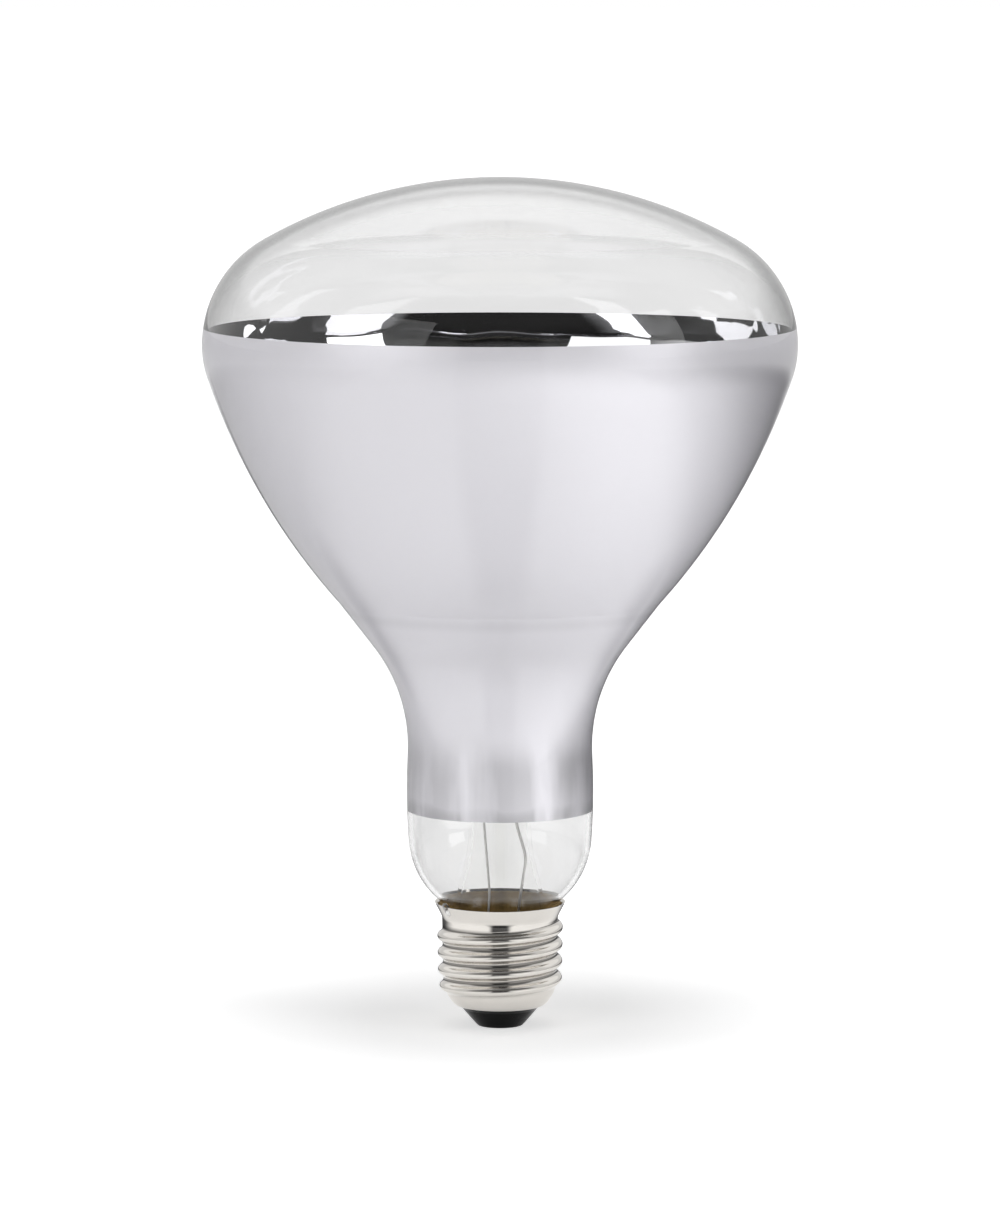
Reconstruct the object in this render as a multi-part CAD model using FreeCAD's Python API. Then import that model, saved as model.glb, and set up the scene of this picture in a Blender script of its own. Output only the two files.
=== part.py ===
import FreeCAD, Part
import math
import os

from FreeCAD import Base

# An infrared heat lamp bulb: blown glass, mirrored inside up to just past its widest point,
# a sealed glass stem that carries the filament, and a screw cap cemented to the neck.
# Millimetres. The origin is on the axis at the underside of the centre contact, and +Z runs
# from the cap to the glass face. Radii are measured from the axis, angles are in degrees.

# Screw cap: a thin drawn shell with its round thread rolled in
cap_wall = 0.3
crest_diameter = 26.3
root_diameter = 24.1
thread_pitch = 3.629        # seven turns to the inch, right-handed
thread_length = 16.15       # from where the ridge starts to where it ends
thread_over_foot = 0.05     # start of the ridge above the rounded foot
crest_rise = 1.4            # of the lowest whole crest over the ridge's start
crest_angle = 180.0         # where that is measured, from +X
runout_width = 0.15         # part of the ridge's half width that is left where it starts
lip_height = 4.7            # lower edge of the shell, round the insulator
lip_inset = 2.25            # from the thread's root in to the lip
foot_rise = 0.6             # of each flat of the rounded foot, and how far it widens
foot_spread = 0.65
knee_rise = 1.7
knee_spread = 1.05
root_rise = 1.6             # from the knee to the full root diameter
waist_rise = 0.4            # plain band above the thread, a little wider than its root
waist_spread = 0.25
rim_rise = 3.0              # flared rim above it
rim_flare = 1.55
turn_steps = 36             # flats round the shell
runout_steps = 14
wave_rows = 3               # flats on each side of the ridge

# Insulator and centre contact
shell_fit = 0.1             # between the shell and what lies inside it
shoulder_inset = 1.75       # where the insulator turns steeper, in from the shell's lip
shoulder_drop = 0.9         # and below it
nose_radius = 5.3
nose_height = 0.15
nose_edge = 0.45
floor_rise = 0.9            # of the dish inside the cap, over the lip
dish_radius = 4.5
contact_radius = 4.2
contact_thickness = 0.35
solder_bore = 1.1
solder_recess = 0.05
solder_depth = 1.2

# Glass bulb, from the sealed end inside the cap up to the face
glass_wall = 0.9
seal_depth = 6.0            # of the bulb's end below the cap's rim
seal_gap = 1.15             # round that end, inside the shell
seal_straight = 2.89
seal_arc = 3.0
foot_angle = 45.0
foot_arc = 18.0
neck_angle_low = 4.0        # the neck is slightly barrelled, from this slope at its foot
neck_angle_high = 3.0       # to this one below the throat
neck_arc = 150.0
neck_radius = 19.5          # narrowest part, in the throat
throat_arc = 35.3
cone_angle = 37.5
crease_angle = 41.5         # slope just above the crease that crosses the cone
crease_arc = 8.0
side_arc = 138.3
crown_angle = 18.7
crown_arc = 21.4
bulb_radius = 62.5
shoulder_arc = 25.4
face_arc = 101.0

# Mirror on the inner face of the glass
mirror_thickness = 0.25
clear_neck = 19.8           # clear glass between the cap's rim and the mirror
mirror_over_widest = 3.6

# Stem: flared tube, flat press that seals the leads, exhaust tube and glass rod
tube_radius = 6.6
tube_wall = 0.9
flare_neck = 2.4            # straight tube between the flare and the press
flare_rim = 1.2
press_base = 18.6           # above the cap's rim
press_taper = 4.5
press_height = 11.0
press_width = 15.0
press_thickness = 4.8
press_squareness = 5.0
press_points = 24           # on the outline of each of its sections
press_root = 1.0            # of the taper, down inside the tube
press_ledge = 0.1
bore_taper = 2.0            # of the tube's bore under the press
vent_radius = 0.6
vent_rise = 3.0
exhaust_radius = 1.5
exhaust_wall = 0.6
exhaust_over_lead = 5.0     # its sealed tip above the bend of the centre lead
exhaust_taper = 1.6
rod_radius = 1.7
rod_length = 24.0           # from the press to the middle of the button
button_radius = 3.2
button_half = 2.2

# Leads, filament and its hooks
lead_side = 3.4             # each lead from the axis, in the press
seal_wire_radius = 0.25
seal_wire_length = 7.0
inner_lead_radius = 0.4
lead_rise = 12.0            # straight part above the press
lead_post = 4.5             # straight part below the filament's end
lead_over = 0.9             # lead's end above the filament's axis
lead_bend = 5.0
filament_height = 36.0      # above the top of the press
filament_ring = 13.0
filament_gap = 70.0         # opening in the ring
filament_front = 270.0      # azimuth of the opening's middle
filament_bend = 2.0
coil_radius = 0.7
coil_sides = 8
joint_gap = 0.02            # between the filament's ends and the leads
hook_count = 5
hook_radius = 0.22
hook_clearance = 0.08
hook_turn = 230.0
hook_root = 1.2             # length held in the button
disc_gap = 1.35             # between the heat disc and the mirror in the neck
disc_thickness = 0.35
wire_clearance = 0.1

# Outer leads below the press
outer_lead_radius = 0.3
outer_bend = 9.0            # of both leads inside the flare
lead_exit = 1.8             # straight part below the press
bow_width = 2.2             # how far the centre lead bows out inside the flare
bow_drop = 9.2              # of its widest place below the press
bow_foot_gap = 1.4          # between the exhaust tube and the centre lead below the flare
bow_foot_drop = 0.6         # and where that is, below the bulb's end
bow_end_rise = 4.4          # last bend of the lead over the insulator's dish
side_lead_radius = 0.25
side_bow_width = 1.2        # how far the side lead leans in before it turns out
side_bow_rise = 7.9         # of that bend over the bulb's end
under_seal = 2.0            # side lead's run below the bulb's end
fold_bend = 0.45            # of the side lead's turns from the seal to the solder
fold_rise = 0.8             # of the side lead over the cap's rim
fold_inset = 0.1
fold_drop = 0.45
fold_width = 0.6
rim_gap = 0.2               # between the side lead and the inside of the rim
waist_gap = 0.3
solder_flat = 14            # flat of the shell that carries the side solder
solder_radius = 1.0
solder_dome = 0.55
solder_drop = 1.25          # below the rim
cement_step = 0.5           # cement's top below the rim, and its end above the bulb's end


# Radii and heights that follow from these
lip_radius = root_diameter / 2 - lip_inset
waist_radius = root_diameter / 2 + waist_spread
rim_radius = waist_radius + rim_flare
foot_height = lip_height + foot_rise
knee_height = foot_height + knee_rise
root_height = knee_height + root_rise
thread_low = knee_height + thread_over_foot
thread_high = thread_low + thread_length
crest_height = thread_low + crest_rise
waist_height = thread_high + waist_rise
rim_height = waist_height + rim_rise
cap_profile = [
    (lip_radius, lip_height),
    (lip_radius + foot_spread, foot_height),
    (lip_radius + foot_spread + knee_spread, knee_height),
    (root_diameter / 2, root_height),
    (waist_radius, waist_height),
    (rim_radius, rim_height),
]
shoulder_radius = lip_radius - shoulder_inset
shoulder_height = lip_height - shoulder_drop
insulator_floor = lip_height + floor_rise
seal_radius = root_diameter / 2 - cap_wall - seal_gap
seal_height = rim_height - seal_depth
mirror_low = rim_height + clear_neck
press_low = rim_height + press_base
press_high = press_low + press_height
exhaust_seat = press_low - press_root + bore_taper
flare_height = press_low - flare_neck - flare_rim - seal_height
bow_end = insulator_floor + bow_end_rise
exhaust_end = bow_end + exhaust_over_lead
disc_radius = neck_radius - glass_wall - mirror_thickness - disc_gap
seal_wire_low = press_low + (press_height - seal_wire_length) / 2
seal_wire_high = seal_wire_low + seal_wire_length
button_height = press_high + rod_length
filament_level = press_high + filament_height


def cosine(angle):
    return math.cos(math.radians(angle))


def sine(angle):
    return math.sin(math.radians(angle))


def direction(angle):
    return Base.Vector(cosine(angle), 0, sine(angle))


def ring_point(angle, radius, height):
    return Base.Vector(radius * cosine(angle), radius * sine(angle), height)


def filament_point(angle, radius=filament_ring):
    return ring_point(angle, radius, filament_level)


class Outline:
    """A smooth half section, walked upward. The heading is the outward normal's angle above
    the horizontal, so one step keeps its centre when the whole outline is offset inward."""

    def __init__(self, radius, height, heading=0.0):
        self.point = Base.Vector(radius, 0, height)
        self.heading = heading
        self.steps = []

    def line(self, length):
        along = direction(self.heading + 90) * length
        self.steps.append((self.point, self.point + along, None, None, direction(self.heading)))
        self.point = self.point + along

    def arc(self, radius, heading):
        """A positive radius bulges outward and a negative one curves inward."""
        centre = self.point - direction(self.heading) * radius
        self.steps.append((centre, radius, self.heading, heading, None))
        self.point = centre + direction(heading) * radius
        self.heading = heading

    def edges(self, offset=0.0):
        made = []
        for first, second, start, end, normal in self.steps:
            if normal is not None:
                shift = normal * -offset
                made.append(Part.makeLine(first + shift, second + shift))
                continue
            reach = second - offset
            points = [first + direction(a) * reach for a in (start, (start + end) / 2, end)]
            made.append(Part.Arc(*points).toShape())
        return made

    def ends(self, offset=0.0):
        edges = self.edges(offset)
        return edges[0].Vertexes[0].Point, edges[-1].Vertexes[-1].Point


def revolve(edges):
    """Turn a closed half section about the axis."""
    face = Part.Face(Part.Wire(Part.__sortEdges__(edges)))
    return face.revolve(Base.Vector(), Base.Vector(0, 0, 1), 360)


def lathe(points):
    """Turn a polygon of (radius, height) corners."""
    corners = [Base.Vector(r, 0, z) for r, z in points]
    return revolve(Part.makePolygon(corners + corners[:1]).Edges)


def filled(outline, offset=0.0):
    """The solid inside an outline, closed by flat ends."""
    low, high = outline.ends(offset)
    edges = outline.edges(offset)
    edges.append(Part.makeLine(Base.Vector(0, 0, low.z), low))
    if high.x > 1e-6:
        edges.append(Part.makeLine(high, Base.Vector(0, 0, high.z)))
    edges.append(Part.makeLine(Base.Vector(0, 0, low.z), Base.Vector(0, 0, high.z)))
    return revolve(edges)


def jacket(outline, outer, inner):
    """The wall between two offsets of one outline."""
    low_out, high_out = outline.ends(outer)
    low_in, high_in = outline.ends(inner)
    edges = outline.edges(outer) + outline.edges(inner)
    edges.append(Part.makeLine(low_out, low_in))
    edges.append(Part.makeLine(high_out, high_in))
    return revolve(edges)


def slab(low, high, radius):
    return Part.makeCylinder(radius, high - low, Base.Vector(0, 0, low))


def rod(start, end, radius):
    return Part.makeCylinder(radius, (end - start).Length, start, end - start)


def bent_wire(points, radius, bends, sides=0):
    """A wire along straight runs with a tangent bend at each corner, round or flat-sided."""
    edges = []
    last = points[0]
    for bend, before, corner, after in zip(bends, points, points[1:], points[2:]):
        back = (before - corner).normalize()
        ahead = (after - corner).normalize()
        half = back.getAngle(ahead) / 2
        cut = bend / math.tan(half)
        middle = (back + ahead).normalize() * (bend / math.sin(half) - bend)
        start = corner + back * cut
        end = corner + ahead * cut
        edges.append(Part.makeLine(last, start))
        edges.append(Part.Arc(start, corner + middle, end).toShape())
        last = end
    edges.append(Part.makeLine(last, points[-1]))
    ring = Part.makeCircle(radius, points[0], points[1] - points[0])
    if sides:
        corners = ring.discretize(sides + 1)
        ring = Part.makePolygon(corners[:-1] + corners[:1])
    return Part.Wire(edges).makePipeShell([Part.Wire(ring)], True, True)


def export(shape, name):
    solid = shape.Solids[0]
    solid.exportStep("parts/%s.step" % name)
    print("%-18s volume %9.1f" % (name, solid.Volume))


# Screw cap

def cap_base(height):
    """Radius of the shell's outer face at a height, without the thread."""
    for (r0, z0), (r1, z1) in zip(cap_profile, cap_profile[1:]):
        if height <= z1:
            return r0 + (r1 - r0) * (height - z0) / (z1 - z0)
    return cap_profile[-1][0]


def thread_wave(offset):
    """Height of the round thread above its root, at an offset along the axis from its crest."""
    depth = (crest_diameter - root_diameter) / 2
    quarter = thread_pitch / 4
    arc = (quarter ** 2 + (depth / 2) ** 2) / depth
    offset = abs(offset)
    if offset <= quarter:
        return depth - arc + math.sqrt(arc ** 2 - offset ** 2)
    return arc - math.sqrt(arc ** 2 - (2 * quarter - offset) ** 2)


def flat_angle(step):
    """Azimuth of a column of the ridge, counted in flats from where the ridge starts."""
    first = thread_low + thread_pitch / 2 * runout_width - crest_height
    return crest_angle + 360 * (first / thread_pitch + step / turn_steps)


def thread_grid():
    """Columns of (radius, height) along the ridge, each from the valley below it to the one above.
    The ridge is squeezed out where it meets the foot and the waist."""
    half = thread_pitch / 2
    margin = half * runout_width
    start = thread_low + margin
    total = int((thread_high - margin - start) / thread_pitch * turn_steps)
    columns = []
    for step in range(total + 1):
        crest = start + thread_pitch * step / turn_steps
        below = min(1.0, (crest - thread_low) / half)
        above = min(1.0, (thread_high - crest) / half)
        swell = min(1.0, step / runout_steps, (total - step) / runout_steps)
        column = []
        for row in range(-wave_rows, wave_rows + 1):
            share = row / wave_rows
            height = crest + share * half * (below if row < 0 else above)
            column.append((cap_base(height) + swell * thread_wave(share * half), height))
        columns.append(column)
    return columns


def moved_in(column, inset, valleys=False):
    """A column of a skin moved inward, square to its own slope, or to the plain shell's slope
    in the valleys, which two turns of the ridge share."""
    moved = []
    last = len(column) - 1
    for index, (radius, height) in enumerate(column):
        r0, z0 = column[max(index - 1, 0)]
        r1, z1 = column[min(index + 1, last)]
        if valleys and index in (0, last):
            z0, z1 = height - cap_wall, height + cap_wall
            r0, r1 = cap_base(z0), cap_base(z1)
        length = math.hypot(r1 - r0, z1 - z0)
        moved.append((radius - inset * (z1 - z0) / length, height + inset * (r1 - r0) / length))
    return moved


def cap_skin(inset):
    """Triangles of the threaded shell's face, moved in by inset, and its two edge rings."""
    columns = [moved_in(column, inset, True) for column in thread_grid()]

    def place(point, step):
        return ring_point(flat_angle(step % turn_steps), *point)

    triangles = []

    def fan(polygon):
        for second, third in zip(polygon[1:], polygon[2:]):
            triangles.append((polygon[0], second, third))

    last = len(columns) - 1
    for step in range(last):
        near = [place(p, step) for p in columns[step]]
        far = [place(p, step + 1) for p in columns[step + 1]]
        for row in range(len(near) - 1):
            fan((near[row], far[row], far[row + 1], near[row + 1]))

    levels = moved_in(cap_profile, inset)
    lower = [p for p, full in zip(levels, cap_profile) if full[1] < thread_low]
    upper = [p for p, full in zip(levels, cap_profile) if full[1] > thread_high]
    for step in range(turn_steps):
        for low, high in list(zip(lower, lower[1:])) + list(zip(upper, upper[1:])):
            fan((place(low, step), place(low, step + 1), place(high, step + 1), place(high, step)))
        seam = [place(p, 0) for p in columns[0]] if step == turn_steps - 1 else []
        ledge = [place(columns[step + 1][0], step + 1)] if not seam else []
        fan([place(columns[step][0], step), place(lower[-1], step), place(lower[-1], step + 1)]
            + seam + ledge)
        top = last - turn_steps + step
        seam = [place(p, last) for p in columns[last][1:]] if step == 0 else []
        fan([place(columns[top + 1][-1], top + 1), place(upper[0], top + 1), place(upper[0], top)]
            + seam[::-1] + [place(columns[top][-1], top)])
    rings = [[place(edge, step) for step in range(turn_steps)] for edge in (lower[0], upper[-1])]
    return triangles, rings


def cap_shell():
    outer, outer_rings = cap_skin(0.0)
    inner, inner_rings = cap_skin(cap_wall)
    triangles = outer + [t[::-1] for t in inner]
    for out, within in zip(outer_rings, inner_rings):
        for step in range(turn_steps):
            after = (step + 1) % turn_steps
            triangles.append((out[step], out[after], within[after]))
            triangles.append((out[step], within[after], within[step]))
    faces = [Part.Face(Part.makePolygon(t + t[:1])) for t in triangles]
    shell = Part.makeShell(faces)
    shell.sewShape()
    return Part.makeSolid(shell)


def inside_shell(levels):
    """Corners of the cap's profile moved in to clear the shell's flats."""
    return moved_in(cap_profile, cap_wall + shell_fit)[levels]


def insulator():
    points = [
        (solder_bore, contact_thickness),
        (contact_radius, contact_thickness),
        (contact_radius, nose_height),
        (nose_radius - nose_edge, nose_height),
        (nose_radius, nose_height + nose_edge),
        (shoulder_radius, shoulder_height),
    ]
    points += inside_shell(slice(0, 3))
    points += [(dish_radius, insulator_floor), (solder_bore, insulator_floor)]
    return lathe(points)


def contact_plate():
    return lathe([
        (solder_bore, 0.0),
        (contact_radius - contact_thickness, 0.0),
        (contact_radius, contact_thickness / 2),
        (contact_radius, contact_thickness),
        (solder_bore, contact_thickness),
    ])


def centre_solder():
    return slab(solder_recess, solder_depth, solder_bore).cut(outer_lead_centre())


def cement_ring():
    """Cement between the neck and the shell, with a channel for the side lead."""
    points = inside_shell(slice(3, 6))
    low = seal_height + cement_step
    high = rim_height - cement_step
    body = lathe([(0, points[0][1])] + points + [(0, points[-1][1])])
    ring = body.common(slab(low, high, rim_radius)).cut(filled(bulb_outline()))
    return ring.cut(outer_lead_side())


# Glass bulb and mirror

def bulb_outline():
    """The outer face of the glass, from its sealed end to the middle of the face. The cones of
    the foot and of the body take the lengths that join their neighbours."""
    path = Outline(seal_radius, seal_height)
    path.line(seal_straight)
    path.arc(-seal_arc, -foot_angle)
    heel_spread = foot_arc * (cosine(neck_angle_low) - cosine(foot_angle))
    barrel_spread = neck_arc * (cosine(neck_angle_high) - cosine(neck_angle_low))
    waisting = throat_arc * (1 - cosine(neck_angle_high))
    reach = neck_radius + waisting - barrel_spread - heel_spread
    path.line((reach - path.point.x) / sine(foot_angle))
    path.arc(foot_arc, -neck_angle_low)
    path.arc(neck_arc, neck_angle_high)
    path.arc(-throat_arc, -cone_angle)
    crown_spread = crown_arc * (1 - cosine(crown_angle))
    side_spread = side_arc * (cosine(crown_angle) - cosine(crease_angle))
    crease_spread = crease_arc * (cosine(cone_angle) - cosine(crease_angle))
    reach = bulb_radius - crown_spread - side_spread - crease_spread
    path.line((reach - path.point.x) / sine(cone_angle))
    path.arc(-crease_arc, -crease_angle)
    path.arc(side_arc, -crown_angle)
    path.arc(crown_arc, 0.0)
    path.widest = path.point.z
    shoulder_turn = math.acos((bulb_radius - shoulder_arc) / (face_arc - shoulder_arc))
    path.arc(shoulder_arc, math.degrees(shoulder_turn))
    path.arc(face_arc, 90.0)
    return path


def glass_bulb():
    return jacket(bulb_outline(), 0.0, glass_wall)


def mirror_coating():
    path = bulb_outline()
    lining = jacket(path, glass_wall, glass_wall + mirror_thickness)
    return lining.common(slab(mirror_low, path.widest + mirror_over_widest, bulb_radius))


# Stem

def flare_outline():
    """The flared tube's outer face, a double bend from the rim sealed in the bulb's end."""
    rim = seal_radius - glass_wall
    turn = 2 * math.degrees(math.atan((rim - tube_radius) / flare_height))
    bend = flare_height / (2 * sine(turn))
    path = Outline(rim, seal_height)
    path.line(flare_rim)
    path.arc(bend, turn)
    path.arc(-bend, 0.0)
    path.line(press_low - path.point.z)
    return path


def press_section(half_width, half_depth, power, height):
    """A closed curve between an ellipse and a rounded rectangle."""
    points = []
    for step in range(press_points):
        x = cosine(360 * step / press_points)
        y = sine(360 * step / press_points)
        reach = (abs(x) ** power + abs(y) ** power) ** (-1 / power)
        points.append(Base.Vector(half_width * x * reach, half_depth * y * reach, height))
    curve = Part.BSplineCurve()
    curve.interpolate(points, PeriodicFlag=True)
    return Part.Wire(curve.toShape())


def stem_flare():
    ends = (press_width / 2, press_thickness / 2, press_squareness)
    root = tube_radius - press_ledge
    press = Part.makeLoft([
        press_section(root, root, 2.0, press_low - press_root),
        press_section(*ends, press_low + press_taper),
        press_section(*ends, press_high),
    ], True, True)
    path = flare_outline()
    low, high = path.ends(tube_wall)
    corners = [
        high - Base.Vector(0, 0, press_root),
        Base.Vector(exhaust_radius, 0, exhaust_seat),
        Base.Vector(0, 0, exhaust_seat),
        Base.Vector(0, 0, low.z),
        low,
    ]
    steps = path.edges(tube_wall)[:-1]
    steps.append(Part.makeLine(steps[-1].Vertexes[-1].Point, corners[0]))
    bore = revolve(steps + Part.makePolygon(corners).Edges)
    vent_top = Base.Vector(0, 0, exhaust_seat + vent_rise)
    stem = filled(path).fuse(press).cut(bore)
    stem = stem.cut(rod(Base.Vector(0, 0, exhaust_seat), vent_top, vent_radius))
    stem = stem.cut(rod(vent_top, vent_top + Base.Vector(0, press_thickness, 0), vent_radius))
    for side in (-1, 1):
        stem = stem.cut(inner_lead(side)).cut(seal_wire(side))
    return stem.cut(outer_lead_centre()).cut(outer_lead_side())


def exhaust_tube():
    bore = exhaust_radius - exhaust_wall
    tip = exhaust_end + exhaust_taper
    return lathe([
        (0.0, exhaust_end),
        (exhaust_radius / 2, exhaust_end),
        (exhaust_radius, tip),
        (exhaust_radius, exhaust_seat),
        (bore, exhaust_seat),
        (bore, tip),
        (0.0, tip - exhaust_wall),
    ])


def support_rod():
    neck = button_height - button_half
    edge = button_half / 2
    body = lathe([
        (0.0, press_high),
        (rod_radius, press_high),
        (rod_radius, neck),
        (button_radius - edge / 2, button_height - edge),
        (button_radius, button_height),
        (button_radius - edge / 2, button_height + edge),
        (rod_radius, button_height + button_half),
        (0.0, button_height + button_half),
    ])
    for angle in hook_angles():
        body = body.cut(filament_hook(angle))
    return body


def heat_disc():
    """A mica disc on top of the press that keeps the heat from the neck and the cap."""
    disc = slab(press_high, press_high + disc_thickness, disc_radius)
    disc = disc.cut(slab(press_high, press_high + disc_thickness, rod_radius + wire_clearance))
    for side in (-1, 1):
        foot = Base.Vector(side * lead_side, 0, press_high)
        top = foot + Base.Vector(0, 0, disc_thickness)
        disc = disc.cut(rod(foot, top, inner_lead_radius + wire_clearance))
    return disc


# Leads, filament and hooks

def span_angle():
    return (360 - filament_gap) / (hook_count + 1)


def filament_start():
    return filament_front + filament_gap / 2


def hook_angles():
    return [filament_start() + span_angle() * (k + 1) for k in range(hook_count)]


def filament():
    """The coil's outside, in straight spans that turn at the hooks."""
    spread = filament_bend / cosine(span_angle() / 2) - filament_bend
    points = [filament_point(filament_start())]
    points += [filament_point(angle, filament_ring + spread) for angle in hook_angles()]
    points.append(filament_point(filament_start() + span_angle() * (hook_count + 1)))
    gap = inner_lead_radius + joint_gap
    for end, beside in ((0, 1), (-1, -2)):
        inward = (points[beside] - points[end]).normalize()
        points[end] = points[end] + inward * gap
    return bent_wire(points, coil_radius, [filament_bend] * hook_count, coil_sides)


def filament_hook(angle):
    """A wire from the button that curls round the filament's coil."""
    outward = Base.Vector(cosine(angle), sine(angle), 0)
    up = Base.Vector(0, 0, 1)
    curl = coil_radius + hook_clearance + hook_radius
    reach = filament_ring - button_radius + hook_root
    rise = filament_level - button_height
    distance = math.hypot(reach, rise)
    slope = math.degrees(math.atan2(rise, reach) - math.asin(curl / distance))

    def place(radial, height):
        return outward * radial + up * height

    start = place(button_radius - hook_root, button_height)
    centre = place(filament_ring, filament_level)
    around = [slope - 90 + hook_turn * share for share in (0, 0.5, 1)]
    bend = [centre + place(curl * cosine(a), curl * sine(a)) for a in around]
    path = Part.Wire([Part.makeLine(start, bend[0]), Part.Arc(*bend).toShape()])
    ring = Part.Wire(Part.makeCircle(hook_radius, start, bend[0] - start))
    return path.makePipeShell([ring], True, True)


def inner_lead(side):
    end = filament_point(filament_front + side * filament_gap / 2)
    foot = Base.Vector(side * lead_side, 0, seal_wire_high)
    knee = Base.Vector(side * lead_side, 0, press_high + lead_rise)
    post = end - Base.Vector(0, 0, lead_post)
    top = end + Base.Vector(0, 0, lead_over)
    return bent_wire([foot, knee, post, top], inner_lead_radius, [lead_bend] * 2)


def seal_wire(side):
    foot = Base.Vector(side * lead_side, 0, seal_wire_low)
    return rod(foot, foot + Base.Vector(0, 0, seal_wire_length), seal_wire_radius)


def outer_lead_centre():
    bow_foot = exhaust_radius + outer_lead_radius + bow_foot_gap
    points = [
        Base.Vector(lead_side, 0, seal_wire_low),
        Base.Vector(lead_side, 0, press_low - lead_exit),
        Base.Vector(lead_side + bow_width, 0, press_low - bow_drop),
        Base.Vector(bow_foot, 0, seal_height - bow_foot_drop),
        Base.Vector(0, 0, bow_end),
        Base.Vector(0, 0, solder_depth / 2),
    ]
    return bent_wire(points, outer_lead_radius, [outer_bend] * 4)


def solder_place():
    """Middle of the solder's seat on a flat of the shell's flared rim, and the way out of it."""
    angle = flat_angle(solder_flat + 0.5)
    slope = (rim_radius - waist_radius) / (rim_height - waist_height)
    inner = cosine(180 / turn_steps)
    radius = (rim_radius - solder_drop * slope) * inner
    seat = ring_point(angle, radius, rim_height - solder_drop)
    normal = Base.Vector(cosine(angle), sine(angle), -slope * inner).normalize()
    return seat, normal, angle


def outer_lead_side():
    """Down the flare, round the bulb's sealed end, up through the cement and over the rim."""
    seat, normal, angle = solder_place()
    inside = (seal_radius + root_diameter / 2 - cap_wall) / 2
    level = seal_height - under_seal
    clear = side_lead_radius + joint_gap
    points = [
        Base.Vector(-lead_side, 0, seal_wire_low),
        Base.Vector(-lead_side, 0, press_low - lead_exit),
        Base.Vector(side_bow_width - lead_side, 0, seal_height + side_bow_rise),
        ring_point(angle, lead_side, level),
        ring_point(angle, inside, level),
        ring_point(angle, inside, waist_height - waist_gap),
        ring_point(angle, rim_radius - cap_wall - side_lead_radius - rim_gap, rim_height),
        ring_point(angle, rim_radius - fold_inset, rim_height + fold_rise),
        ring_point(angle, rim_radius + fold_width, rim_height + fold_rise - fold_drop),
        seat + normal * clear,
    ]
    return bent_wire(points, side_lead_radius, [outer_bend] * 2 + [fold_bend] * 6)


def side_solder():
    """A low dome of solder on one flat of the rim, over the end of the side lead."""
    seat, normal, angle = solder_place()
    ball = (solder_radius ** 2 + solder_dome ** 2) / (2 * solder_dome)
    dome = Part.makeSphere(ball, seat - normal * (ball - solder_dome))
    cup = Part.makeCylinder(solder_radius, solder_dome, seat, normal)
    return dome.common(cup).cut(outer_lead_side())


def main():
    os.makedirs("parts", exist_ok=True)
    export(cap_shell(), "cap_shell")
    export(insulator(), "insulator")
    export(contact_plate(), "contact_plate")
    export(centre_solder(), "centre_solder")
    export(side_solder(), "side_solder")
    export(cement_ring(), "cement_ring")
    export(glass_bulb(), "glass_bulb")
    export(mirror_coating(), "mirror_coating")
    export(stem_flare(), "stem_flare")
    export(exhaust_tube(), "exhaust_tube")
    export(support_rod(), "support_rod")
    export(heat_disc(), "heat_disc")
    export(outer_lead_centre(), "outer_lead_centre")
    export(outer_lead_side(), "outer_lead_side")
    for side, name in ((-1, "left"), (1, "right")):
        export(seal_wire(side), "seal_wire_" + name)
        export(inner_lead(side), "inner_lead_" + name)
    for number, angle in enumerate(hook_angles(), 1):
        export(filament_hook(angle), "filament_hook_%d" % number)
    export(filament(), "filament")
    print("overall length %.2f" % bulb_outline().point.z)


if __name__ == "__main__":
    main()
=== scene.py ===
"""The looks of an infrared heat lamp bulb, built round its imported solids."""

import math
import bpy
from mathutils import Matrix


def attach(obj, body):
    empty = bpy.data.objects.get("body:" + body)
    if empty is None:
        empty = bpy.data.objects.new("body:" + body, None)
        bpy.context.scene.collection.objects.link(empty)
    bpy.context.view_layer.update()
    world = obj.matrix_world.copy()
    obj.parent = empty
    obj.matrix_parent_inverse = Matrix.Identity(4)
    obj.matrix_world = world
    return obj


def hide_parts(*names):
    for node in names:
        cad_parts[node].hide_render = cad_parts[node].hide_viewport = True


bl_info = {
    "name": "Heat lamp bulb",
    "version": (1, 0, 0),
    "blender": (4, 5, 0),
    "location": "3D View > Sidebar > Heat lamp",
    "description": "Blown glass, mirror, cap, stem and filament of an infrared heat lamp bulb",
    "category": "Add Mesh",
}

import bpy
from mathutils import Vector

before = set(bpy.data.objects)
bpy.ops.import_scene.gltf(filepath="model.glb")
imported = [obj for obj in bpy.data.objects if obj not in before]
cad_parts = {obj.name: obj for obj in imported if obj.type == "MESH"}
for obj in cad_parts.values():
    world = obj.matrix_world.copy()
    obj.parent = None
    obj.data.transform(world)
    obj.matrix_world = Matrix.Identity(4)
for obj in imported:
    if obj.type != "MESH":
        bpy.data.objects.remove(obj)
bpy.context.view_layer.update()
MM = 0.001
BODY = "root"

# Blown glass, from its sealed end to its face, in millimetres, with slopes in degrees
SEAL_STRAIGHT = 2.89
SEAL_ARC = 3.0
FOOT_ANGLE = 45.0
FOOT_ARC = 18.0
NECK_ANGLE_LOW = 4.0
NECK_ANGLE_HIGH = 3.0
NECK_ARC = 150.0
THROAT_ARC = 35.3
CONE_ANGLE = 37.5
CREASE_ANGLE = 41.5
CREASE_ARC = 8.0
SIDE_ARC = 138.3
CROWN_ANGLE = 18.7
CROWN_ARC = 21.4
SHOULDER_ARC = 25.4
FACE_ARC = 101.0

# Radius and height of the cap's corners without its thread, from foot to lip, in millimetres
THREAD_FOOT = (12.05, 8.6)
THREAD_HEAD = (12.3, 23.6)
CAP_PROFILE = [(9.8, 4.7), (10.45, 5.3), (11.5, 7.0), THREAD_FOOT, THREAD_HEAD, (13.85, 26.6)]

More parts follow.
